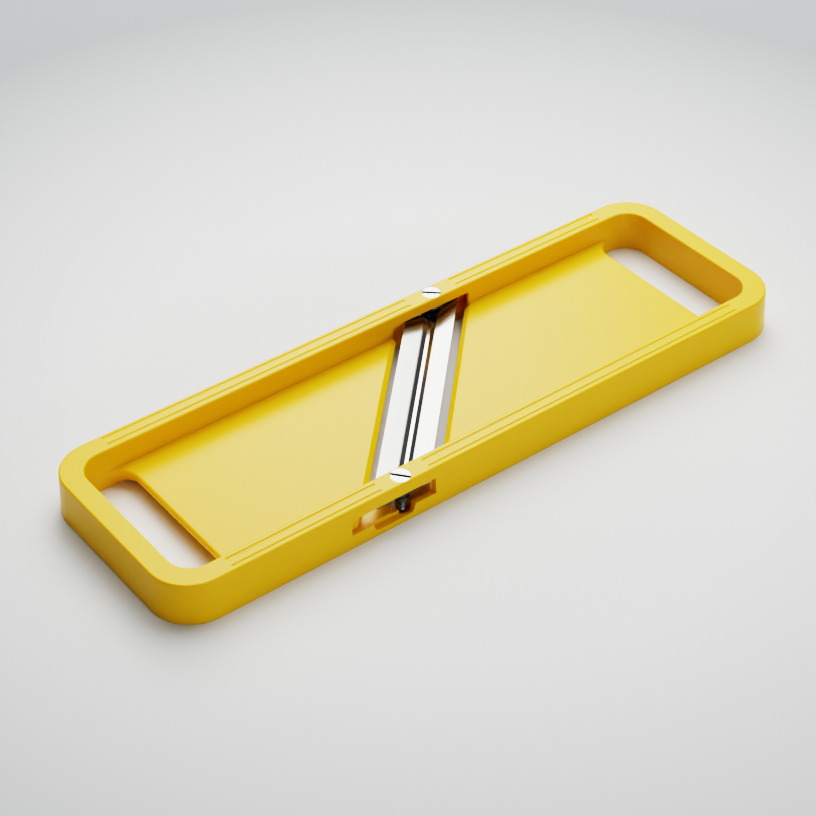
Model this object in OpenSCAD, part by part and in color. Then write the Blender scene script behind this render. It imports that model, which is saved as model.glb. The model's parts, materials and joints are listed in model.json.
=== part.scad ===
// Two-way mandoline slicer: a moulded tray with a diagonal slit, a folded blade
// carrier with two outward-facing blades, and two captive screws that raise and
// lower the carrier. Millimetres. +X runs along the tray, +Y across it, +Z up.
// The origin is in the middle of the tray's footprint, on the table.

/* [Tray] */
// Length of the tray at its rim
tray_length = 320; // [300:1:340]
// Width of the tray at its rim
tray_width = 100; // [98:0.5:104]
// Height of the rim above the table
tray_height = 19.5; // [19.3:0.1:20.5]
// Width of each side rail at the top
rail_width = 9.65; // [9.5:0.05:10.5]
// Width of each end bar at the top
bar_width = 9.7; // [9.5:0.1:14]
// Outer corner radius at the rim
corner_radius = 18.5; // [15:0.5:20]
// Corner radius inside the rim
inner_radius = 10.5; // [8:0.5:11]
// How far each outer wall leans out at its foot
draft = 1.0; // [0.2:0.1:1.5]
// Rounding of the rim's edges
rim_rounding = 0.8; // [0.4:0.1:1]
// Thickness of the moulded walls under the rim
wall = 2.2; // [1.8:0.1:2.4]
// Thickness of the rim's top
rim_top = 2.4; // [2:0.1:3]

/* [Beds] */
// Height of the sliding beds above the table
bed_height = 8.5; // [8.3:0.1:9]
// Thickness of the beds
bed_thickness = 2.5; // [2:0.1:3]
// Distance from the middle of the tray to the end of each bed
bed_reach = 128.3; // [120:0.1:130]
// Corner radius where a bed's end meets the rails
bed_fillet = 10; // [6:0.5:10.5]
// Rounding of the bed ends' top edge
bed_rounding = 1.5; // [0.8:0.1:1.8]
// Width of the shallow grip grooves in the rail tops
groove_width = 1.5; // [1:0.1:1.8]
// Depth of the grip grooves
groove_depth = 0.4; // [0.2:0.05:0.5]

/* [Slit] */
// Angle of the slit from straight across
slit_angle = 43.85; // [40:0.05:46]
// Where the slit's centre line crosses the tray's middle line
slit_x = -7.14; // [-10:0.02:-4]
// Half the width of the slit at the bed surface
slit_half = 16.1; // [15.8:0.1:17]
// Width of the bevel down into the slit
slit_bevel = 2.1; // [1:0.1:2.4]

/* [Blades] */
// Half the distance between the two cutting edges
edge_reach = 10.7; // [10.5:0.05:10.8]
// Width of the gap between the two blades
blade_gap = 5.4; // [5:0.1:6]
// Height of the cutting edges above the table when fully raised
edge_height = 12.41; // [12.3:0.01:12.5]
// Slope of each blade, down towards the middle
blade_slope = 8; // [6:0.5:9]
// Thickness of each blade
blade_thickness = 0.8; // [0.6:0.05:0.9]
// Thickness of the carrier sheet
carrier_thickness = 0.8; // [0.6:0.05:0.9]

/* [Screws] */
// Position of the near screw along the tray
near_screw_x = -50.6; // [-51:0.1:-50]
// Position of the far screw along the tray
far_screw_x = 35.5; // [35:0.1:36.5]
// Thread diameter of the adjusting screws
thread_diameter = 5; // [4.8:0.1:5]
// Diameter of the countersunk heads
head_diameter = 8.6; // [8.6:0.1:9.2]
// Direction of the near screw's slot
near_slot_angle = -51; // [-90:1:90]
// Direction of the far screw's slot
far_slot_angle = -43; // [-90:1:90]

/* [Hidden] */
$fn = 64;
slack = 1;                  // how far a cutter runs past the surface that it cuts
overlap = 0.1;              // how far two joined outlines reach into each other
running_gap = 0.05;         // radial clearance of the parts that turn or slide
axial_gap = 0.02;           // clearance along a screw between its clip and its washer
screw_y = tray_width / 2 - rail_width / 2;
inner_x = tray_length / 2 - bar_width;
inner_y = tray_width / 2 - rail_width;
channel_y = tray_width / 2 - wall;
recess_y = inner_y + wall;
bed_bottom = bed_height - bed_thickness;
slit_floor = slit_half - slit_bevel;
bevel_depth = 1.6;
rib_thickness = 2;
rib_bottom = 1.5;
rib_top = bed_height - bed_thickness / 2;
lip_setback = 2.6;          // from a bed's end to its lip
lip_thickness = 2;
lip_bottom = 2.2;
rib_setback = 1.3;          // from the slit's wall to the rib
rib_inner = slit_floor + rib_setback;
groove_reach = 132.3;
groove_radius = (groove_width * groove_width / 4 + groove_depth * groove_depth) / (2 * groove_depth);
groove_offsets = [43.2, 47.7];
groove_gaps = [[-62.6, -37.8], [21.9, 48.2]];

// windows and passages in the rails: the near window is measured from the slit's centre
// line, and the far rail's passage is the near rail's turned half round
window_long = 23.5;         // outer window, to the left at the near rail
far_window_offset = 1;      // from the far screw to the middle of its shorter window
window_short = 18.5;
window_bottom = 6.3;
window_top = 13.9;
pocket_half_top = 10.5;
pocket_half_middle = 9.8;
pocket_half_bottom = 8.6;
pocket_middle = 4.2;
pocket_bottom = 2.6;
recess_half = 21.4;
recess_top = 14.5;
passage_long = 15;          // passage through the rail, across the slit's direction
passage_short = 11.2;
passage_bottom = 5;
passage_top = 12.95;
trough_passage_half = 3.4;
trough_passage_bottom = 4.3;
block_reach = 30;
end_gap = 0.2;              // between the outer wall and the ends of the blades
sheet_end_y = channel_y - end_gap;

// blades and carrier, in the slit's own section: s across, z up
gap_half = blade_gap / 2;
rise = tan(blade_slope);
blade_drop = blade_thickness / cos(blade_slope);
carrier_drop = carrier_thickness / cos(blade_slope);
edge_land = 0.08;
edge_bevel = 1.8;
wing_reach = 8.4;
trough_top = 2.6;
trough_half = 0.7;
trough_floor = 9.5;
trough_side = 0.2;
function blade_top(s) = edge_height - (edge_reach - s) * rise;
function wing_top(s) = blade_top(s) - blade_drop;

// rivets
rivet_s = 6.2;
rivet_hole = 2.45;
rivet_shank = 2.4;
rivet_head = 4;
rivet_head_height = 0.5;
rivet_rounding = 0.4;

// screws, bushes, washers and clips
head_top = tray_height - 0.1;
head_rim = 0.3;
head_cone = (head_diameter - thread_diameter) / 2;
screw_tip = 1.2;
tip_diameter = 2.6;
tip_length = 1.3;
slot_width = 1.2;
slot_depth = 1.4;
washer_thickness = 0.5;
washer_diameter = 7.4;
clip_thickness = 0.6;
clip_diameter = 7.2;
clip_top = passage_top - washer_thickness - axial_gap;
clip_groove = 4;
clip_mouth = 3.4;
well_radius = 4;
well_bottom = 0.9;
notch_width = 6;
notch_length = 10;
bush_diameter = 6.8;
bush_bottom = 8;
bush_shoulder = 9.65;
spigot_diameter = notch_width - running_gap;
clinch_bottom = 11.42;
bush_top = 11.66;
bore_diameter = thread_diameter + 2 * running_gap;

tray_yellow = "#e3bd2c";
blade_steel = "#dfe1de";
carrier_steel = "#c4c5c2";
screw_steel = "#b9babd";
bush_steel = "#8d8a84";
clip_black = "#3b3c3f";

// ---- helpers ----

// A rectangle with round corners, centred
module rounded_rect(w, h, r) {
    square([w - 2 * r, h], center = true);
    square([w, h - 2 * r], center = true);
    for (x = [-1, 1], y = [-1, 1])
        translate([x * (w / 2 - r), y * (h / 2 - r)]) circle(r);
}

// The waste outside a rounded corner whose arc is tangent to both axes
module corner_waste(r) {
    difference() {
        square(r + slack);
        circle(r);
    }
}

// Cuts round the top edge of a round-cornered hole, centred on the origin
module hole_rounding(w, h, r, edge) {
    module waste() {
        difference() {
            translate([-slack, 0]) square([edge + slack, edge + slack]);
            translate([edge, 0]) circle(edge);
        }
    }
    for (side = [0, 180]) rotate(side) {
        translate([w / 2, 0, 0]) rotate([90, 0, 0])
            linear_extrude(h - 2 * r, center = true) waste();
        translate([0, h / 2, 0]) rotate([90, 0, 90])
            linear_extrude(w - 2 * r, center = true) waste();
    }
    for (x = [-1, 1], y = [-1, 1])
        translate([x * (w / 2 - r), y * (h / 2 - r), 0])
            rotate_extrude() intersection() {
                translate([r, 0]) waste();
                translate([0, -slack]) square([r + 2 * edge, edge + 3 * slack]);
            }
}

// Puts children in the slit's own frame: x across the slit, y along it
module along_slit() {
    translate([slit_x, 0, 0]) rotate([0, 0, -slit_angle]) children();
}

// A prism along the slit from a section drawn with x across it and y up
module slit_prism(length = 240) {
    along_slit() rotate([90, 0, 0]) linear_extrude(length, center = true) children();
}

// Everything between two distances across the tray
module slab(y0, y1) {
    translate([-tray_length, min(y0, y1), -slack])
        cube([2 * tray_length, abs(y1 - y0), tray_height + 2 * slack]);
}

// Where the slit's centre line meets a line along the tray
function slit_at(y) = slit_x + y * tan(slit_angle);

// ---- the tray ----

// Half section of the outer wall, leaning out at its foot, with a rounded rim edge
module wall_section(reach) {
    difference() {
        polygon([[0, 0], [reach + draft, 0], [reach, tray_height - rim_rounding],
            [reach, tray_height], [0, tray_height]]);
        translate([reach - rim_rounding, tray_height - rim_rounding]) corner_waste(rim_rounding);
    }
}

module full_section(reach) {
    wall_section(reach);
    mirror([1, 0]) wall_section(reach);
}

module tray_blank() {
    rotate([90, 0, 90])
        linear_extrude(tray_length - 2 * corner_radius, center = true) full_section(tray_width / 2);
    rotate([90, 0, 0])
        linear_extrude(tray_width - 2 * corner_radius, center = true) full_section(tray_length / 2);
    for (x = [-1, 1], y = [-1, 1])
        translate([x * (tray_length / 2 - corner_radius), y * (tray_width / 2 - corner_radius), 0])
            rotate_extrude() wall_section(corner_radius);
}

// The rim: rails and end bars, hollow from below
module rim() {
    difference() {
        tray_blank();
        translate([0, 0, -slack]) linear_extrude(tray_height + 2 * slack)
            rounded_rect(2 * inner_x, 2 * inner_y, inner_radius);
        translate([0, 0, -slack]) linear_extrude(tray_height - rim_top + slack)
            difference() {
                rounded_rect(tray_length - 2 * wall, tray_width - 2 * wall, corner_radius - wall);
                rounded_rect(2 * (inner_x + wall), 2 * (inner_y + wall), inner_radius + wall);
            }
        translate([0, 0, tray_height - rim_rounding])
            hole_rounding(2 * inner_x, 2 * inner_y, inner_radius, rim_rounding);
    }
}

// Both beds, with the slit between them and a grip opening past each end
module beds() {
    opening_w = 2 * (inner_x - bed_reach);
    difference() {
        translate([-bed_reach - bed_fillet, -inner_y - wall / 2, bed_bottom])
            cube([2 * (bed_reach + bed_fillet), 2 * inner_y + wall, bed_thickness]);
        for (side = [-1, 1]) translate([side * inner_x, 0, 0]) {
            translate([0, 0, bed_bottom - slack]) linear_extrude(bed_thickness + 2 * slack)
                rounded_rect(opening_w, 2 * inner_y, bed_fillet);
            translate([0, 0, bed_height - bed_rounding])
                hole_rounding(opening_w, 2 * inner_y, bed_fillet, bed_rounding);
        }
        slit_prism() slit_section();
    }
}

// Lips turned down at the grip openings, along the ends of the beds
module bed_lips() {
    lip_w = 2 * (inner_x - bed_reach + lip_setback);
    reach = bed_reach + bed_fillet;
    intersection() {
        for (side = [-1, 1]) translate([side * inner_x, 0, lip_bottom])
            linear_extrude(bed_bottom + overlap - lip_bottom) difference() {
                square([lip_w + 2 * lip_thickness, 2 * inner_y + wall], center = true);
                rounded_rect(lip_w, 2 * inner_y, bed_fillet);
            }
        translate([-reach, -inner_y - wall / 2, 0])
            cube([2 * reach, 2 * inner_y + wall, tray_height]);
    }
}

module slit_section() {
    top = bed_height + slack;
    low = bed_bottom - slack;
    knee = bed_height - bevel_depth;
    polygon([[-slit_floor, low], [slit_floor, low], [slit_floor, knee], [slit_half, bed_height],
        [slit_half, top], [-slit_half, top], [-slit_half, bed_height], [-slit_floor, knee]]);
}

// Ribs under the beds, along both sides of the slit
module ribs() {
    intersection() {
        for (side = [-1, 1]) slit_prism()
            translate([side * (rib_inner + rib_thickness / 2), (rib_bottom + rib_top) / 2])
                square([rib_thickness, rib_top - rib_bottom], center = true);
        slab(-inner_y - wall / 2, inner_y + wall / 2);
    }
}

// A box in one rail: distances along the tray, then outward from its middle line
module rail_box(side, x0, x1, y0, y1, z0, z1) {
    translate([x0, side > 0 ? y0 : -y1, z0]) cube([x1 - x0, y1 - y0, z1 - z0]);
}

// Fills the hollow rail round a screw
module screw_block(side) {
    middle = slit_at(side * screw_y);
    rail_box(side, middle - block_reach, middle + block_reach,
        inner_y + wall / 2, tray_width / 2 - wall / 2, 0, tray_height - rim_top / 2);
}

// Window in the outer wall, with a tapered pocket down for the screw's end
module outer_window(side) {
    half = side > 0 ? pocket_half_top : (window_long + window_short) / 2;
    middle = side > 0 ? far_screw_x + far_window_offset
        : slit_at(-tray_width / 2) - (window_long - window_short) / 2;
    depth = wall + draft + slack;
    translate([middle, side > 0 ? tray_width / 2 + draft + slack : -channel_y, 0])
        rotate([90, 0, 0]) linear_extrude(depth) {
            translate([-half, window_bottom])
                square([2 * half, window_top - window_bottom]);
            polygon([[-pocket_half_top, window_bottom + overlap],
                [pocket_half_top, window_bottom + overlap],
                [pocket_half_middle, pocket_middle], [pocket_half_bottom, pocket_bottom],
                [-pocket_half_bottom, pocket_bottom], [-pocket_half_middle, pocket_middle]]);
        }
}

// Recess in the rail's inner face, where the slit meets it
module inner_recess(side) {
    middle = slit_at(side * inner_y);
    rail_box(side, middle - recess_half, middle + recess_half,
        inner_y - slack, recess_y, -slack, recess_top);
}

// Passage for the ends of the blades and the carrier, along the slit's direction
module passage(side) {
    intersection() {
        slit_prism() {
            translate([side > 0 ? -passage_short : -passage_long, passage_bottom])
                square([passage_long + passage_short, passage_top - passage_bottom]);
            translate([-trough_passage_half, trough_passage_bottom])
                square([2 * trough_passage_half, passage_top - trough_passage_bottom]);
        }
        slab(side * (recess_y - slack), side * channel_y);
    }
}

// Countersunk seat, bore and well for one screw
module screw_seat(screw_x, side) {
    translate([screw_x, side * screw_y, 0]) {
        translate([0, 0, well_bottom]) cylinder(r = well_radius, h = passage_top - well_bottom);
        translate([0, 0, passage_top - slack])
            cylinder(d = bore_diameter, h = tray_height - passage_top + slack);
        translate([0, 0, head_top - head_rim - head_cone])
            cylinder(d1 = bore_diameter, d2 = head_diameter + 2 * running_gap, h = head_cone);
        translate([0, 0, head_top - head_rim])
            cylinder(d = head_diameter + 2 * running_gap, h = head_rim + slack);
    }
}

// One shallow grip groove with round ends, broken round that rail's screw
module groove(y, gap) {
    axis_z = tray_height - groove_depth + groove_radius;
    for (run = [[-groove_reach, gap[0]], [gap[1], groove_reach]]) {
        translate([run[0], y, axis_z]) rotate([0, 90, 0])
            cylinder(r = groove_radius, h = run[1] - run[0]);
        for (x = run) translate([x, y, axis_z]) sphere(r = groove_radius);
    }
}

module frame() {
    color(tray_yellow) difference() {
        union() {
            rim();
            beds();
            bed_lips();
            ribs();
            for (side = [-1, 1]) screw_block(side);
        }
        for (side = [-1, 1]) {
            outer_window(side);
            inner_recess(side);
            passage(side);
            for (offset = groove_offsets) groove(side * offset, groove_gaps[side > 0 ? 1 : 0]);
        }
        screw_seat(near_screw_x, -1);
        screw_seat(far_screw_x, 1);
    }
}

// ---- carrier and blades ----

// The carrier's section: a wing under each blade and the trough between them
module carrier_section() {
    half = [[trough_half, trough_floor], [trough_top, wing_top(trough_top)],
        [wing_reach, wing_top(wing_reach)], [wing_reach, wing_top(wing_reach) - carrier_drop],
        [trough_top + trough_side, wing_top(trough_top + trough_side) - carrier_drop],
        [trough_half + trough_side, trough_floor - carrier_thickness]];
    last = len(half) - 1;
    polygon(concat(half, [for (i = [last:-1:0]) [-half[i][0], half[i][1]]]));
}

// Section of one blade, sharpened from below
module blade_section() {
    back = edge_reach - edge_bevel;
    polygon([[gap_half, blade_top(gap_half)], [edge_reach, edge_height],
        [edge_reach, edge_height - edge_land], [back, wing_top(back)],
        [gap_half, wing_top(gap_half)]]);
}

// Where a rivet stands, square to its blade
module at_rivet(side, wing) {
    along = (side * screw_y + wing * rivet_s * sin(slit_angle)) / cos(slit_angle);
    along_slit() translate([wing * rivet_s, along, wing_top(rivet_s)])
        rotate([0, -wing * blade_slope, 0]) children();
}

module rivet_holes(wing) {
    for (side = [-1, 1]) at_rivet(side, wing)
        translate([0, 0, -2 * carrier_thickness])
            cylinder(d = rivet_hole, h = 4 * carrier_thickness);
}

// Notches for the bushes, open towards the ends, with room below for their shoulders
module end_notches() {
    for (place = [[near_screw_x, -1], [far_screw_x, 1]])
        translate([place[0], place[1] * screw_y, 0]) rotate(-slit_angle) {
            cylinder(d = notch_width, h = tray_height);
            cylinder(d = bush_diameter + 4 * running_gap, h = bush_shoulder);
            translate([-notch_width / 2, place[1] > 0 ? 0 : -notch_length, 0])
                cube([notch_width, notch_length, tray_height]);
        }
}

module blade_carrier() {
    color(carrier_steel) difference() {
        intersection() {
            slit_prism() carrier_section();
            slab(-sheet_end_y, sheet_end_y);
        }
        end_notches();
        for (wing = [-1, 1]) rivet_holes(wing);
    }
}

// wing is 1 for the blade on the right of the slit and -1 for the one on its left
module blade(wing) {
    color(blade_steel) difference() {
        intersection() {
            slit_prism() mirror([wing < 0 ? 1 : 0, 0]) blade_section();
            slab(-sheet_end_y, sheet_end_y);
        }
        end_notches();
        rivet_holes(wing);
    }
}

module left_blade() { blade(-1); }
module right_blade() { blade(1); }

// Rivet through a blade and the carrier, with a low round-edged head on each side
module rivet(side, wing) {
    grip = carrier_thickness + blade_thickness;
    color(carrier_steel) at_rivet(side, wing) translate([0, 0, -carrier_thickness]) {
        cylinder(d = rivet_shank, h = grip);
        for (end = [0, 1]) translate([0, 0, end * grip]) mirror([0, 0, 1 - end])
            rotate_extrude() difference() {
                square([rivet_head / 2, rivet_head_height]);
                translate([rivet_head / 2 - rivet_rounding, rivet_head_height - rivet_rounding])
                    corner_waste(rivet_rounding);
            }
    }
}

module near_left_rivet() { rivet(-1, -1); }
module near_right_rivet() { rivet(-1, 1); }
module far_left_rivet() { rivet(1, -1); }
module far_right_rivet() { rivet(1, 1); }

// ---- screws and what they carry ----

// Slotted countersunk screw with a groove for its clip and a tapered end
module adjusting_screw(screw_x, side, slot_angle) {
    r = thread_diameter / 2;
    cone_top = head_top - head_rim;
    color(screw_steel) translate([screw_x, side * screw_y, 0]) difference() {
        rotate_extrude() polygon([[0, screw_tip], [tip_diameter / 2, screw_tip],
            [r, screw_tip + tip_length], [r, clip_top - clip_thickness],
            [clip_groove / 2, clip_top - clip_thickness], [clip_groove / 2, clip_top],
            [r, clip_top], [r, cone_top - head_cone], [head_diameter / 2, cone_top],
            [head_diameter / 2, head_top], [0, head_top]]);
        translate([0, 0, head_top]) rotate(slot_angle)
            cube([head_diameter + slack, slot_width, 2 * slot_depth], center = true);
    }
}

module near_adjusting_screw() { adjusting_screw(near_screw_x, -1, near_slot_angle); }
module far_adjusting_screw() { adjusting_screw(far_screw_x, 1, far_slot_angle); }

// Threaded bush clinched into the notch at one end of the blades and the carrier
module threaded_bush(screw_x, side) {
    color(bush_steel) translate([screw_x, side * screw_y, 0]) difference() {
        union() {
            translate([0, 0, bush_bottom]) cylinder(d = bush_diameter, h = bush_shoulder - bush_bottom);
            translate([0, 0, bush_bottom]) cylinder(d = spigot_diameter, h = bush_top - bush_bottom);
            translate([0, 0, clinch_bottom]) cylinder(d = bush_diameter, h = bush_top - clinch_bottom);
        }
        translate([0, 0, bush_bottom - slack]) cylinder(d = bore_diameter, h = tray_height);
    }
}

module near_threaded_bush() { threaded_bush(near_screw_x, -1); }
module far_threaded_bush() { threaded_bush(far_screw_x, 1); }

// Thrust washer between the rail and the clip
module thrust_washer(screw_x, side) {
    color(screw_steel) translate([screw_x, side * screw_y, passage_top - washer_thickness])
        difference() {
            cylinder(d = washer_diameter, h = washer_thickness);
            translate([0, 0, -slack]) cylinder(d = bore_diameter, h = washer_thickness + 2 * slack);
        }
}

module near_thrust_washer() { thrust_washer(near_screw_x, -1); }
module far_thrust_washer() { thrust_washer(far_screw_x, 1); }

// Open retaining clip in the screw's groove
module retaining_clip(screw_x, side) {
    color(clip_black) translate([screw_x, side * screw_y, clip_top - clip_thickness])
        difference() {
            cylinder(d = clip_diameter, h = clip_thickness);
            translate([0, 0, -slack]) {
                cylinder(d = clip_groove + running_gap, h = clip_thickness + 2 * slack);
                translate([0, -clip_mouth / 2, 0])
                    cube([clip_diameter, clip_mouth, clip_thickness + 2 * slack]);
            }
        }
}

module near_retaining_clip() { retaining_clip(near_screw_x, -1); }
module far_retaining_clip() { retaining_clip(far_screw_x, 1); }

frame();
blade_carrier();
left_blade();
right_blade();
near_adjusting_screw();
far_adjusting_screw();
near_threaded_bush();
far_threaded_bush();
near_thrust_washer();
far_thrust_washer();
near_retaining_clip();
far_retaining_clip();
near_left_rivet();
near_right_rivet();
far_left_rivet();
far_right_rivet();
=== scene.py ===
"""Looks of the yellow mandoline slicer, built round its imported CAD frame. Metres, +Z up."""
import json
import math

import bmesh
import bpy
from mathutils import Matrix, Vector


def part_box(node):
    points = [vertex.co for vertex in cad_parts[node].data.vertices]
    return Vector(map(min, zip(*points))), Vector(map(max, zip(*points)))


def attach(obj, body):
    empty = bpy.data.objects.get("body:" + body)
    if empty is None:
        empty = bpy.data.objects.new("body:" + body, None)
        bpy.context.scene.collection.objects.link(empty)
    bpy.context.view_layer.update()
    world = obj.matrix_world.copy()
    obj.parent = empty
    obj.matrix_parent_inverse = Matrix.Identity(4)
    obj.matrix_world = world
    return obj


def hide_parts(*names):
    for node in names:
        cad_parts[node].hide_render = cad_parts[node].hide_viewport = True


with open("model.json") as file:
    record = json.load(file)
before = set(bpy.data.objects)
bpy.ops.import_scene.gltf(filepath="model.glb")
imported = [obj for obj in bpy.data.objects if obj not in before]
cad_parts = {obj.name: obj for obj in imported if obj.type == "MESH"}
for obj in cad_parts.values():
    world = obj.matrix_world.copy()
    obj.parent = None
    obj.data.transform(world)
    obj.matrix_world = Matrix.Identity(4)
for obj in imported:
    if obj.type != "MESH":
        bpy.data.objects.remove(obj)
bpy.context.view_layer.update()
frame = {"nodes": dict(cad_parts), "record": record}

MM = 0.001
nodes = frame["nodes"]


def span_of(node, axis):
    """The lowest and highest of a node along X, Y or Z (0, 1 or 2), in millimetres."""
    low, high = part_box(node)
    return low[axis] / MM, high[axis] / MM


def axis_of(node):
    """The X and Y of a turned piece's axis, from the middle of its box."""
    return sum(span_of(node, 0)) / 2, sum(span_of(node, 1)) / 2


# ---- driving dimensions, in millimetres ----

SLIT_ANGLE = math.radians(43.85)    # from straight across, towards +X
SLIT_X = -7.14                      # where the slit's centre line crosses the tray's
BLADE_SLOPE = math.radians(8)
SHEET = 0.8                         # thickness of the blades and of the carrier
EDGE_REACH = 10.7                   # from the slit's centre line to each cutting edge
EDGE_LAND = 0.08
EDGE_BEVEL = 1.8
GAP_HALF = 2.7                      # half the gap between the blades
WING_REACH = 8.4
TROUGH_HALF = 0.7                   # half the width of the trough's floor
TROUGH_MOUTH = 2.6                  # half its width where it meets the wings
TROUGH_FLOOR = 9.5
NOTCH_RADIUS = 3.0                  # the carrier's slots for the bushes
BUSH_RELIEF = 3.5                   # clearance round a bush's shoulder
RIVET_S = 6.2                       # from the slit's centre line to each rivet
RIVET_HOLE = 1.225                  # radius
SWEEP_REACH = 120                   # longer than the slit, to be cut back
THREAD_PITCH = 0.8
THREAD_CREST = 2.48
THREAD_DEPTH = 0.43
SHANK_RADIUS = 2.5
HEAD_RADIUS = 4.3
HEAD_RIM = 0.3
SLOT_WIDTH = 1.2
SLOT_DEPTH = 1.4
NEAR_SLOT_ANGLE = -51               # degrees, as seen from above
FAR_SLOT_ANGLE = -43
BUSH_BORE = 2.55
BUSH_SHOULDER = 9.65

EDGE_HEIGHT = span_of("left_blade", 2)[1]
SHEET_END = span_of("blade_carrier", 1)[1]
SCREW_Y = axis_of("far_adjusting_screw")[1]
SCREW_TIP, HEAD_TOP = span_of("near_adjusting_screw", 2)
CLIP_LOW, CLIP_HIGH = span_of("near_retaining_clip", 2)
BUSH_LOW, BUSH_TOP = span_of("near_threaded_bush", 2)

# ---- materials ----


class Material:
    """A Principled material with a few helpers for its procedural detail."""

    def __init__(self, name, colour, roughness, metallic=0.0, **sockets):
        self.data = bpy.data.materials.new(name)
        self.data.use_nodes = True
        self.tree = self.data.node_tree
        self.shader = self.tree.nodes["Principled BSDF"]
        self.set("Base Color", (*colour, 1.0))
        self.set("Roughness", roughness)
        self.set("Metallic", metallic)
        for socket, value in sockets.items():
            self.set(socket.replace("_", " "), value)
        self.coords = self.tree.nodes.new("ShaderNodeTexCoord")

    def set(self, socket, value):
        self.shader.inputs[socket].default_value = value

    def link(self, output, socket):
        self.tree.links.new(output, socket)

    def noise(self, scale, detail=3.0, stretch=(1, 1, 1), turn=0.0):
        """Noise in the object's own metres, stretched and turned about Z."""
        mapping = self.tree.nodes.new("ShaderNodeMapping")
        mapping.vector_type = "TEXTURE"
        mapping.inputs["Rotation"].default_value = (0, 0, turn)
        mapping.inputs["Scale"].default_value = stretch
        self.link(self.coords.outputs["Object"], mapping.inputs["Vector"])
        noise = self.tree.nodes.new("ShaderNodeTexNoise")
        noise.inputs["Scale"].default_value = scale
        noise.inputs["Detail"].default_value = detail
        self.link(mapping.outputs["Vector"], noise.inputs["Vector"])
        return noise.outputs["Fac"]

    def remap(self, value, low, high, start=0.3, end=0.7):
        """value's middle range, start to end, spread over low to high."""
        node = self.tree.nodes.new("ShaderNodeMapRange")
        node.inputs["From Min"].default_value = start
        node.inputs["From Max"].default_value = end
        node.inputs["To Min"].default_value = low
        node.inputs["To Max"].default_value = high
        self.link(value, node.inputs["Value"])
        return node.outputs["Result"]

    def vary_colour(self, factor, first, second):
        mix = self.tree.nodes.new("ShaderNodeMix")
        mix.data_type = "RGBA"
        mix.inputs["A"].default_value = (*first, 1.0)
        mix.inputs["B"].default_value = (*second, 1.0)
        self.link(factor, mix.inputs["Factor"])
        self.link(mix.outputs["Result"], self.shader.inputs["Base Color"])

    def vary_roughness(self, factor, low, high):
        self.link(self.remap(factor, low, high), self.shader.inputs["Roughness"])

    def bump(self, height, depth, strength=1.0):
        """Fine relief of the given depth in metres; a second call adds to the first."""
        node = self.tree.nodes.new("ShaderNodeBump")
        node.inputs["Strength"].default_value = strength
        node.inputs["Distance"].default_value = depth
        self.link(height, node.inputs["Height"])
        normal = self.shader.inputs["Normal"]
        if normal.is_linked:
            self.link(normal.links[0].from_socket, node.inputs["Normal"])
        self.link(node.outputs["Normal"], normal)


def tray_plastic():
    m = Material("tray_plastic", (0.86, 0.475, 0.01), 0.30, IOR=1.46, Specular_IOR_Level=0.25)
    m.vary_colour(m.remap(m.noise(9, 2), 0, 1), (0.855, 0.472, 0.009), (0.865, 0.478, 0.011))
    m.vary_roughness(m.noise(260, 2), 0.29, 0.31)
    m.bump(m.noise(1500, 2), 0.000003, 0.3)
    m.set("Subsurface Weight", 0.4)
    m.set("Subsurface Radius", (1.0, 0.45, 0.05))
    m.set("Subsurface Scale", 0.003)
    return m.data


def ground_steel():
    m = Material("blade_steel", (0.29, 0.29, 0.273), 0.2, 1.0)
    grain = m.noise(220, 4, stretch=(1, 40, 1), turn=-SLIT_ANGLE)
    m.vary_colour(m.remap(grain, 0, 1), (0.28, 0.28, 0.263), (0.30, 0.30, 0.283))
    m.vary_roughness(grain, 0.16, 0.26)
    m.bump(grain, 0.000004, 0.4)
    return m.data


def sheet_steel():
    m = Material("carrier_steel", (0.36, 0.355, 0.34), 0.2, 1.0)
    grain = m.noise(150, 2, stretch=(1, 30, 1), turn=-SLIT_ANGLE)
    m.vary_colour(m.remap(grain, 0, 1), (0.34, 0.335, 0.32), (0.38, 0.375, 0.36))
    m.vary_roughness(grain, 0.18, 0.2)
    return m.data


def screw_steel():
    m = Material("screw_steel", (0.29, 0.295, 0.285), 0.22, 1.0)
    m.vary_roughness(m.noise(900, 3), 0.18, 0.3)
    m.vary_colour(m.remap(m.noise(350, 2), 0, 1), (0.275, 0.28, 0.27), (0.305, 0.31, 0.30))
    return m.data


def plain_metal(name, colour, roughness):
    m = Material(name, colour, roughness, 1.0)
    darker = tuple(0.85 * c for c in colour)
    m.vary_colour(m.remap(m.noise(500, 3), 0, 1), darker, colour)
    m.vary_roughness(m.noise(900, 3), 0.8 * roughness, 1.2 * roughness)
    return m.data


# Dark warm brown for the cut ends of the blades and carrier: painted shade and a painted
# reflection of the yellow plastic, not the steel's own colour.
def cut_edge_painted_shade():
    m = Material("cut_edge_painted_shade", (0.16, 0.13, 0.10), 0.5, 1.0)
    m.vary_colour(m.remap(m.noise(700, 3), 0, 1), (0.12, 0.10, 0.08), (0.20, 0.165, 0.13))
    return m.data


# Near-black steel for the inside of the screw slots: painted shade in the recess.
def slot_painted_shade():
    m = Material("slot_painted_shade", (0.07, 0.066, 0.06), 0.6, 1.0)
    m.vary_colour(m.remap(m.noise(900, 2), 0, 1), (0.055, 0.052, 0.047), (0.085, 0.08, 0.073))
    return m.data


# The floor darkens with distance from the origin: a painted fall-off of light, not the floor's
# own colour.
def floor_painted_falloff():
    m = Material("floor_painted_falloff", (0.80, 0.805, 0.81), 0.75)
    reach = m.tree.nodes.new("ShaderNodeVectorMath")
    reach.operation = "LENGTH"
    m.link(m.coords.outputs["Object"], reach.inputs[0])
    # painted fall-off of light: the colour darkens between 0.15 m and 0.37 m out
    fade = m.remap(reach.outputs["Value"], 0, 1, 0.15, 0.37)
    m.vary_colour(fade, (0.79, 0.805, 0.795), (0.315, 0.335, 0.34))
    m.set("Specular IOR Level", 0.2)
    return m.data


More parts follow.
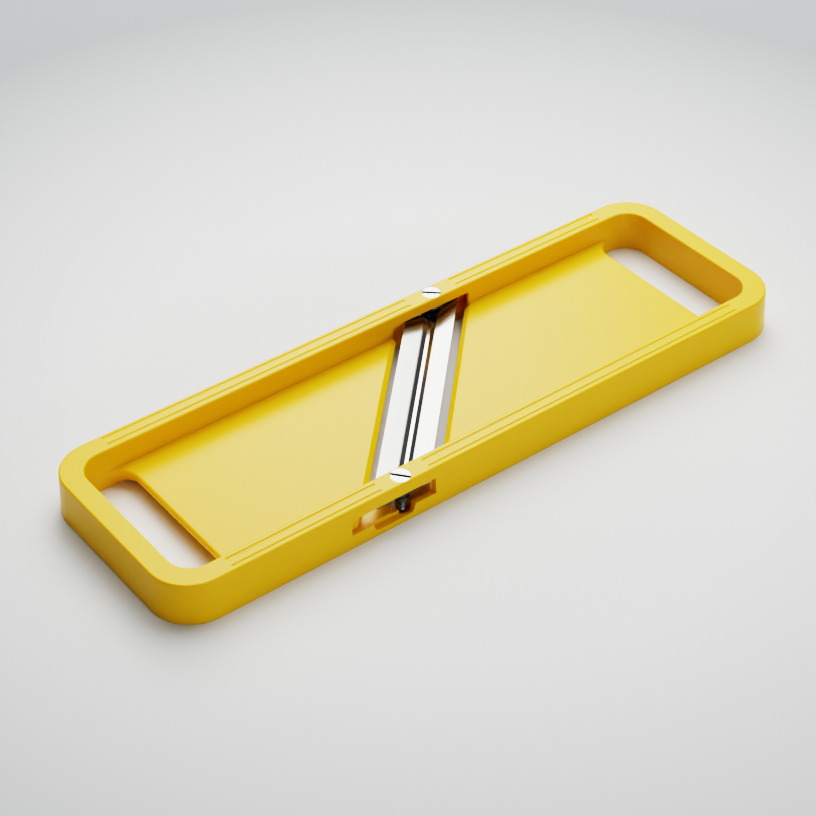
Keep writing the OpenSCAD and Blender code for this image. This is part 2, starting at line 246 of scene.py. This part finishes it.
MATERIALS = {
    "tray_plastic": tray_plastic(),
    "blade_steel": ground_steel(),
    "carrier_steel": sheet_steel(),
    "screw_steel": screw_steel(),
    # The bush's dark colour is partly a blackened finish and partly painted shade from the rail's
    # window.
    "bush_steel": plain_metal("bush_steel", (0.13, 0.12, 0.11), 0.38),
    "washer_steel": plain_metal("washer_steel", (0.6, 0.6, 0.61), 0.3),
    "clip_steel": plain_metal("clip_steel", (0.05, 0.05, 0.055), 0.35),
    "rivet_steel": plain_metal("rivet_steel", (0.66, 0.66, 0.65), 0.28),
}

for part in frame["record"]["subparts"]:
    piece = nodes[part["node"]]
    piece.data.materials.clear()
    piece.data.materials.append(MATERIALS[part["material_slot"]])

# ---- mesh tools ----


def lathe(profile, turns=64, closed=False):
    """A solid of revolution about Z from (radius, height) pairs; a radius may be a function
    of the angle, and the ends are closed with poles unless the profile is a closed ring."""
    bm = bmesh.new()
    rings = []
    for radius, height in profile:
        ring = []
        for i in range(turns):
            angle = 2 * math.pi * i / turns
            r = radius(angle) if callable(radius) else radius
            ring.append(bm.verts.new((r * math.cos(angle), r * math.sin(angle), height)))
        rings.append(ring)
    pairs = list(zip(rings, rings[1:]))
    if closed:
        pairs.append((rings[-1], rings[0]))
    for low, high in pairs:
        for i in range(turns):
            j = (i + 1) % turns
            bm.faces.new((low[i], low[j], high[j], high[i]))
    if not closed:
        for ring, height in ((rings[0], profile[0][1]), (rings[-1], profile[-1][1])):
            pole = bm.verts.new((0, 0, height))
            for i in range(turns):
                bm.faces.new((ring[i], ring[(i + 1) % turns], pole))
    bmesh.ops.recalc_face_normals(bm, faces=bm.faces)
    return bm


def prism(outline, low, high):
    """The outline, in X and Y, as a solid from one height to another."""
    bm = bmesh.new()
    bottom = [bm.verts.new((x, y, low)) for x, y in outline]
    top = [bm.verts.new((x, y, high)) for x, y in outline]
    bm.faces.new(bottom)
    bm.faces.new(top)
    for i in range(len(outline)):
        j = (i + 1) % len(outline)
        bm.faces.new((bottom[i], bottom[j], top[j], top[i]))
    bmesh.ops.recalc_face_normals(bm, faces=bm.faces)
    return bm


def rounded(points, radii, steps=4):
    """The closed outline with an arc of the given radius at each of its corners."""
    result = []
    count = len(points)
    for i, (corner, radius) in enumerate(zip(points, radii)):
        here = Vector(corner)
        back = (Vector(points[i - 1]) - here).normalized()
        ahead = (Vector(points[(i + 1) % count]) - here).normalized()
        half = back.angle(ahead) / 2
        if radius == 0 or half > math.radians(89):
            result.append(tuple(here))
            continue
        reach = radius / math.tan(half)
        centre = here + (back + ahead).normalized() * radius / math.sin(half)
        start = (here + back * reach - centre).normalized()
        finish = (here + ahead * reach - centre).normalized()
        for k in range(steps + 1):
            result.append(tuple(centre + radius * start.slerp(finish, k / steps)))
    return result


def cut(bm, cutter):
    """bm with the cutter's volume taken away; both are used up."""
    pieces = []
    for shape in (bm, cutter):
        mesh = bpy.data.meshes.new("shape")
        shape.to_mesh(mesh)
        shape.free()
        piece = bpy.data.objects.new("shape", mesh)
        bpy.context.scene.collection.objects.link(piece)
        pieces.append(piece)
    modifier = pieces[0].modifiers.new("cut", "BOOLEAN")
    modifier.operation = "DIFFERENCE"
    modifier.solver = "EXACT"
    modifier.object = pieces[1]
    result = bmesh.new()
    result.from_object(pieces[0], bpy.context.evaluated_depsgraph_get())
    for piece in pieces:
        mesh = piece.data
        bpy.data.objects.remove(piece)
        bpy.data.meshes.remove(mesh)
    return result


def finish_piece(bm, name, node, body, materials, sharp=50):
    """Millimetres to metres, smooth shading with sharp edges, and the frame's labels."""
    bmesh.ops.scale(bm, vec=(MM, MM, MM), verts=bm.verts)
    for face in bm.faces:
        face.smooth = True
    for edge in bm.edges:
        if edge.is_manifold and edge.calc_face_angle() > math.radians(sharp):
            edge.smooth = False
    mesh = bpy.data.meshes.new(name)
    bm.to_mesh(mesh)
    bm.free()
    for material in materials:
        mesh.materials.append(material)
    piece = bpy.data.objects.new(name, mesh)
    bpy.context.scene.collection.objects.link(piece)
    normals = piece.modifiers.new("normals", "WEIGHTED_NORMAL")
    normals.keep_sharp = True
    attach(piece, body)
    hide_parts(node)
    return piece


def move(bm, matrix):
    bmesh.ops.transform(bm, matrix=matrix, verts=bm.verts)
    return bm


# ---- adjusting screws and what they carry ----


def thread_radius(height, fade):
    """Radius against angle for one ring of the right-handed thread; fade brings it in."""
    root, flank = 0.12, 0.72    # shares of half a turn that the root and one flank take
    def radius(angle):
        phase = (height / THREAD_PITCH - angle / (2 * math.pi)) % 1.0
        crest = min(max((abs(2 * phase - 1) - root) / flank, 0.0), 1.0)
        return THREAD_CREST - THREAD_DEPTH * (1 - crest * fade)
    return radius


def screw_body():
    """A countersunk screw without its slot: tapered tip, thread, clip groove, neck, head."""
    cone_low = HEAD_TOP - HEAD_RIM - (HEAD_RADIUS - SHANK_RADIUS)
    profile = [(0.95, SCREW_TIP), (1.18, SCREW_TIP + 0.06), (1.34, SCREW_TIP + 0.22),
               (1.62, SCREW_TIP + 0.6), (1.92, SCREW_TIP + 1.1), (2.03, SCREW_TIP + 1.35)]
    height = SCREW_TIP + 1.5
    while height < CLIP_LOW - 0.5:
        fade = min((height - SCREW_TIP - 1.4) / 0.8, (CLIP_LOW - 0.4 - height) / 0.5, 1.0)
        profile.append((thread_radius(height, max(fade, 0.0)), height))
        height += THREAD_PITCH / 10
    profile += [(2.4, CLIP_LOW - 0.35), (2.48, CLIP_LOW - 0.28), (2.48, CLIP_LOW - 0.06),
                (2.42, CLIP_LOW), (2.06, CLIP_LOW), (2.0, CLIP_LOW + 0.06),
                (2.0, CLIP_HIGH - 0.06), (2.06, CLIP_HIGH), (2.42, CLIP_HIGH),
                (2.48, CLIP_HIGH + 0.06), (2.48, cone_low - 0.1), (2.6, cone_low + 0.1),
                (HEAD_RADIUS - 0.06, HEAD_TOP - HEAD_RIM - 0.06),
                (HEAD_RADIUS, HEAD_TOP - HEAD_RIM + 0.05), (HEAD_RADIUS, HEAD_TOP - 0.12),
                (HEAD_RADIUS - 0.04, HEAD_TOP - 0.04), (HEAD_RADIUS - 0.12, HEAD_TOP),
                (HEAD_RADIUS * 0.6, HEAD_TOP), (HEAD_RADIUS * 0.25, HEAD_TOP)]
    return lathe(profile)


def add_screw(name, node, body, slot_angle):
    """The screw with its slot cut and the slot's edges eased; the slot's inside gets a darker
    material, painted shade.
    """
    x, y = axis_of(node)
    half = SLOT_WIDTH / 2
    depth = HEAD_TOP - SLOT_DEPTH
    outline = [(-half, 1.0), (-half, -SLOT_DEPTH), (half, -SLOT_DEPTH), (half, 1.0)]
    tool = prism(rounded(outline, (0, 0.18, 0.18, 0), 3), -HEAD_RADIUS - 1, HEAD_RADIUS + 1)
    move(tool, Matrix.Translation((0, 0, HEAD_TOP)) @ Matrix.Rotation(math.pi / 2, 4, "X"))
    bm = cut(screw_body(), tool)
    lips = [e for e in bm.edges if all(abs(v.co.z - HEAD_TOP) < 0.001 for v in e.verts)
            and all(abs(abs(v.co.x) - half) < 0.001 for v in e.verts)]
    bmesh.ops.bevel(bm, geom=lips, offset=0.06, segments=2, profile=0.5, affect="EDGES")
    # The slot's walls and floor take the second material, darkened as painted shade.
    for face in bm.faces:
        middle = face.calc_center_median()
        if abs(middle.x) < half + 0.01 and depth - 0.01 < middle.z < HEAD_TOP - 0.07:
            face.material_index = 1
    spin = Matrix.Rotation(math.radians(slot_angle) + math.pi / 2, 4, "Z")
    move(bm, Matrix.Translation((x, y, 0)) @ spin)
    finish_piece(bm, name, node, body, (MATERIALS["screw_steel"], slot_painted_shade()))


def add_bush(name, node):
    """A turned bush: shoulder under the carrier, spigot in its slot, top clinched over it."""
    x, y = axis_of(node)
    bore, spigot, outer = BUSH_BORE, 2.97, 3.4
    low, shoulder, top = BUSH_LOW, BUSH_SHOULDER, BUSH_TOP
    profile = [(bore + 0.25, low), (outer - 0.3, low), (outer, low + 0.3),
               (outer, shoulder - 0.15), (outer - 0.12, shoulder), (spigot, shoulder),
               (spigot, top - 0.24), (outer - 0.1, top - 0.23), (outer - 0.02, top - 0.16),
               (outer - 0.06, top - 0.06), (outer - 0.25, top), (bore + 0.15, top),
               (bore, top - 0.16), (bore, low + 0.25)]
    bm = move(lathe(profile, 64, True), Matrix.Translation((x, y, 0)))
    finish_piece(bm, name, node, "blade_unit", (MATERIALS["bush_steel"],), 35)


def add_washer(name, node):
    """A thrust washer, flat and turned, with eased edges."""
    x, y = axis_of(node)
    low, high = span_of(node, 2)
    inner, outer, edge = 2.56, 3.7, 0.12
    profile = [(inner + edge, low), (outer - edge, low), (outer - 0.03, low + 0.04),
               (outer, low + edge), (outer, high - edge), (outer - 0.03, high - 0.04),
               (outer - edge, high), (inner + edge, high), (inner + 0.03, high - 0.04),
               (inner, high - edge), (inner, low + edge), (inner + 0.03, low + 0.04)]
    bm = move(lathe(profile, 64, True), Matrix.Translation((x, y, 0)))
    finish_piece(bm, name, node, "tray", (MATERIALS["washer_steel"],), 60)


def add_clip(name, node, body, x, y):
    """An E-clip: three lobes rest in the screw's groove, with the mouth towards +X."""
    low, high = span_of(node, 2)
    outer, seat, relief = 3.6, 2.03, 0.5
    steps, outer_mouth, inner_mouth = 60, 28, 55
    lobe_spacing, lobe_half, lobe_side = 125, 20, 12
    outline = []
    for i in range(steps + 1):
        angle = math.radians(outer_mouth + (360 - 2 * outer_mouth) * i / steps)
        outline.append((outer * math.cos(angle), outer * math.sin(angle)))
    for i in range(steps, -1, -1):
        turn = inner_mouth + (360 - 2 * inner_mouth) * i / steps
        lobe = abs((turn - 180 + lobe_spacing / 2) % lobe_spacing - lobe_spacing / 2)
        radius = seat + relief * min(max((lobe - lobe_half) / lobe_side, 0.0), 1.0)
        angle = math.radians(turn)
        outline.append((radius * math.cos(angle), radius * math.sin(angle)))
    bm = prism(outline, low, high)
    rims = [e for e in bm.edges if abs(e.verts[0].co.z - e.verts[1].co.z) < 0.001]
    bmesh.ops.bevel(bm, geom=rims, offset=0.07, segments=2, profile=0.5, affect="EDGES")
    move(bm, Matrix.Translation((x, y, 0)))
    finish_piece(bm, name, node, body, (MATERIALS["clip_steel"],), 60)


# ---- blades, carrier and rivets ----

slit_frame = Matrix.Translation((SLIT_X, 0, 0)) @ Matrix.Rotation(-SLIT_ANGLE, 4, "Z")


def blade_top(s):
    return EDGE_HEIGHT - (EDGE_REACH - s) * math.tan(BLADE_SLOPE)


def wing_top(s):
    return blade_top(s) - SHEET / math.cos(BLADE_SLOPE)


def rivet_places(wing):
    """Each rivet of one wing: which rail it is in, and its place square to the sheet."""
    for side in (-1, 1):
        along = (side * SCREW_Y + wing * RIVET_S * math.sin(SLIT_ANGLE)) / math.cos(SLIT_ANGLE)
        yield side, (slit_frame @ Matrix.Translation((wing * RIVET_S, along, wing_top(RIVET_S)))
                     @ Matrix.Rotation(-wing * BLADE_SLOPE, 4, "Y"))


def sheet_along_slit(section, wings):
    """The section swept along the slit, with square ends, bush notches and rivet holes."""
    bm = prism(section, -SWEEP_REACH, SWEEP_REACH)
    move(bm, slit_frame @ Matrix.Rotation(math.pi / 2, 4, "X"))
    for end in (-1, 1):
        bmesh.ops.bisect_plane(bm, geom=bm.verts[:] + bm.edges[:] + bm.faces[:],
                               plane_co=(0, end * SHEET_END, 0), plane_no=(0, end, 0),
                               clear_outer=True)
        rim = [e for e in bm.edges if e.is_boundary]
        bmesh.ops.holes_fill(bm, edges=rim, sides=0)
    bmesh.ops.recalc_face_normals(bm, faces=bm.faces)
    for node, end in (("near_adjusting_screw", -1), ("far_adjusting_screw", 1)):
        x, y = axis_of(node)
        arc = [math.radians(a) for a in range(0, 181, 12)]
        notch = [(NOTCH_RADIUS * math.cos(a), -end * NOTCH_RADIUS * math.sin(a)) for a in arc]
        notch += [(-NOTCH_RADIUS, end * 4 * NOTCH_RADIUS), (NOTCH_RADIUS, end * 4 * NOTCH_RADIUS)]
        place = Matrix.Translation((x, y, 0)) @ Matrix.Rotation(-SLIT_ANGLE, 4, "Z")
        bm = cut(bm, move(prism(notch, 0, 25), place))
        relief = lathe([(BUSH_RELIEF, 5.0), (BUSH_RELIEF, BUSH_SHOULDER)])
        bm = cut(bm, move(relief, Matrix.Translation((x, y, 0))))
    for wing in wings:
        for side, place in rivet_places(wing):
            bm = cut(bm, move(lathe([(RIVET_HOLE, -2.0), (RIVET_HOLE, 2.0)], 32), place))
    return bm


def mark_cut_ends(bm):
    """Gives the cut ends, which face straight across the tray, the second material, which carries
    painted shade and a painted reflection.
    """
    for face in bm.faces:
        if abs(face.normal.y) > 0.999:
            face.material_index = 1


def add_blade(name, node, wing):
    """One ground strip on its wing, left (-1) or right (1), bevelled to a thin outer edge."""
    back = EDGE_REACH - EDGE_BEVEL
    points = [(GAP_HALF, blade_top(GAP_HALF)), (EDGE_REACH, EDGE_HEIGHT),
              (EDGE_REACH, EDGE_HEIGHT - EDGE_LAND), (back, wing_top(back)),
              (GAP_HALF, wing_top(GAP_HALF))]
    section = [(wing * x, z) for x, z in rounded(points, (0.15, 0, 0, 0.6, 0.15))]
    bm = sheet_along_slit(section, (wing,))
    mark_cut_ends(bm)
    finish_piece(bm, name, node, "blade_unit",
                 (MATERIALS["blade_steel"], cut_edge_painted_shade()), 40)


def add_carrier():
    """The folded sheet: two wings that hold the blades, and a trough between them."""
    drop = SHEET / math.cos(BLADE_SLOPE)
    bend = TROUGH_MOUTH + 0.2
    half = [(TROUGH_HALF, TROUGH_FLOOR), (TROUGH_MOUTH, wing_top(TROUGH_MOUTH)),
            (WING_REACH, wing_top(WING_REACH)), (WING_REACH, wing_top(WING_REACH) - drop),
            (bend, wing_top(bend) - drop), (TROUGH_HALF + 0.2, TROUGH_FLOOR - SHEET)]
    radii = [0.4, 0.8, 0.15, 0.15, 0.5, 0.9]
    points = half + [(-x, z) for x, z in reversed(half)]
    bm = sheet_along_slit(rounded(points, radii + radii[::-1]), (-1, 1))
    mark_cut_ends(bm)
    finish_piece(bm, "carrier_sheet", "blade_carrier", "blade_unit",
                 (MATERIALS["carrier_steel"], cut_edge_painted_shade()), 40)


def add_rivets():
    """Four rivets with a domed head on the blade and another under the carrier."""
    dome = [(2.0, 0.0), (2.0, 0.1), (1.94, 0.22), (1.75, 0.34), (1.4, 0.43), (0.9, 0.48),
            (0.4, 0.5)]
    profile = [(r, -SHEET - z) for r, z in reversed(dome)]
    profile += [(1.2, -SHEET), (1.2, SHEET)]
    profile += [(r, SHEET + z) for r, z in dome]
    for wing, hand in ((-1, "left"), (1, "right")):
        for side, place in rivet_places(wing):
            end = "near" if side < 0 else "far"
            bm = move(lathe(profile, 48), place)
            finish_piece(bm, f"{end}_{hand}_rivet_turned", f"{end}_{hand}_rivet", "blade_unit",
                         (MATERIALS["rivet_steel"],), 60)


add_carrier()
add_blade("left_blade_ground", "left_blade", -1)
add_blade("right_blade_ground", "right_blade", 1)
add_rivets()
for end, angle in (("near", NEAR_SLOT_ANGLE), ("far", FAR_SLOT_ANGLE)):
    add_screw(f"{end}_screw_threaded", f"{end}_adjusting_screw", f"{end}_screw", angle)
    add_bush(f"{end}_bush_turned", f"{end}_threaded_bush")
    add_washer(f"{end}_washer_turned", f"{end}_thrust_washer")
    add_clip(f"{end}_clip_stamped", f"{end}_retaining_clip", f"{end}_screw",
             *axis_of(f"{end}_adjusting_screw"))

# ---- floor, lights and camera ----

FLOOR_HALF = 6.0                                # metres
CAMERA_PLACE = (-0.4278, -0.5484, 0.5648)       # metres
CAMERA_TURNS = (37.15, 39.085, -0.521)          # degrees from +Y towards +X, down, and roll
CAMERA_LENS = 92.01                             # millimetres, on the sensor's width below
CAMERA_SENSOR = 36


def add_floor():
    mesh = bpy.data.meshes.new("floor")
    half = FLOOR_HALF
    mesh.from_pydata([(-half, -half, 0), (half, -half, 0), (half, half, 0), (-half, half, 0)],
                     [], [(0, 1, 2, 3)])
    floor = bpy.data.objects.new("floor", mesh)
    mesh.materials.append(floor_painted_falloff())
    bpy.context.scene.collection.objects.link(floor)


def add_softbox(name, azimuth, elevation, distance, size, radiance, colour):
    """A rectangular softbox that faces the object; azimuth is from +Y towards +X."""
    light = bpy.data.lights.new(name, "AREA")
    light.shape = "RECTANGLE"
    light.size, light.size_y = size
    light.color = colour
    light.energy = radiance * math.pi * size[0] * size[1]
    lamp = bpy.data.objects.new(name, light)
    a, e = math.radians(azimuth), math.radians(elevation)
    away = Vector((math.sin(a) * math.cos(e), math.cos(a) * math.cos(e), math.sin(e)))
    lamp.location = away * distance
    lamp.rotation_euler = away.to_track_quat("Z", "Y").to_euler()
    bpy.context.scene.collection.objects.link(lamp)


def add_world(strength, colour):
    world = bpy.data.worlds.new("studio")
    world.use_nodes = True
    background = world.node_tree.nodes["Background"]
    background.inputs["Color"].default_value = (*colour, 1.0)
    background.inputs["Strength"].default_value = strength
    bpy.context.scene.world = world


def add_camera():
    yaw, pitch, roll = (math.radians(turn) for turn in CAMERA_TURNS)
    level = math.cos(pitch)
    forward = Vector((math.sin(yaw) * level, math.cos(yaw) * level, -math.sin(pitch)))
    right = forward.cross(Vector((0, 0, 1))).normalized()
    up = right.cross(forward)
    across = math.cos(roll) * right + math.sin(roll) * up
    upright = math.cos(roll) * up - math.sin(roll) * right
    camera = bpy.data.objects.new("camera", bpy.data.cameras.new("camera"))
    camera.data.sensor_width = CAMERA_SENSOR
    camera.data.lens = CAMERA_LENS
    turn = Matrix((across, upright, -forward)).transposed().to_4x4()
    camera.matrix_world = Matrix.Translation(CAMERA_PLACE) @ turn
    bpy.context.scene.collection.objects.link(camera)
    bpy.context.scene.camera = camera


add_floor()
add_camera()
add_softbox("key", 34, 39, 1.25, (0.5, 0.5), 6.8, (1.0, 0.985, 0.955))
add_softbox("softbox_ahead", 36, 43, 1.3, (1.1, 0.9), 2.4, (1.0, 0.997, 0.99))
add_softbox("softbox_high", 30, 70, 1.25, (1.2, 0.7), 2.9, (1.0, 0.998, 0.99))
add_softbox("softbox_right", 80, 60, 1.25, (0.9, 0.9), 2.1, (1.0, 0.99, 0.975))
add_softbox("fill", 178, 17, 1.4, (1.4, 0.5), 2.2, (1.0, 0.99, 0.98))
add_world(0.12, (0.95, 0.98, 1.0))
view = bpy.context.scene.view_settings
view.view_transform = "Filmic"
view.look = "Very High Contrast"
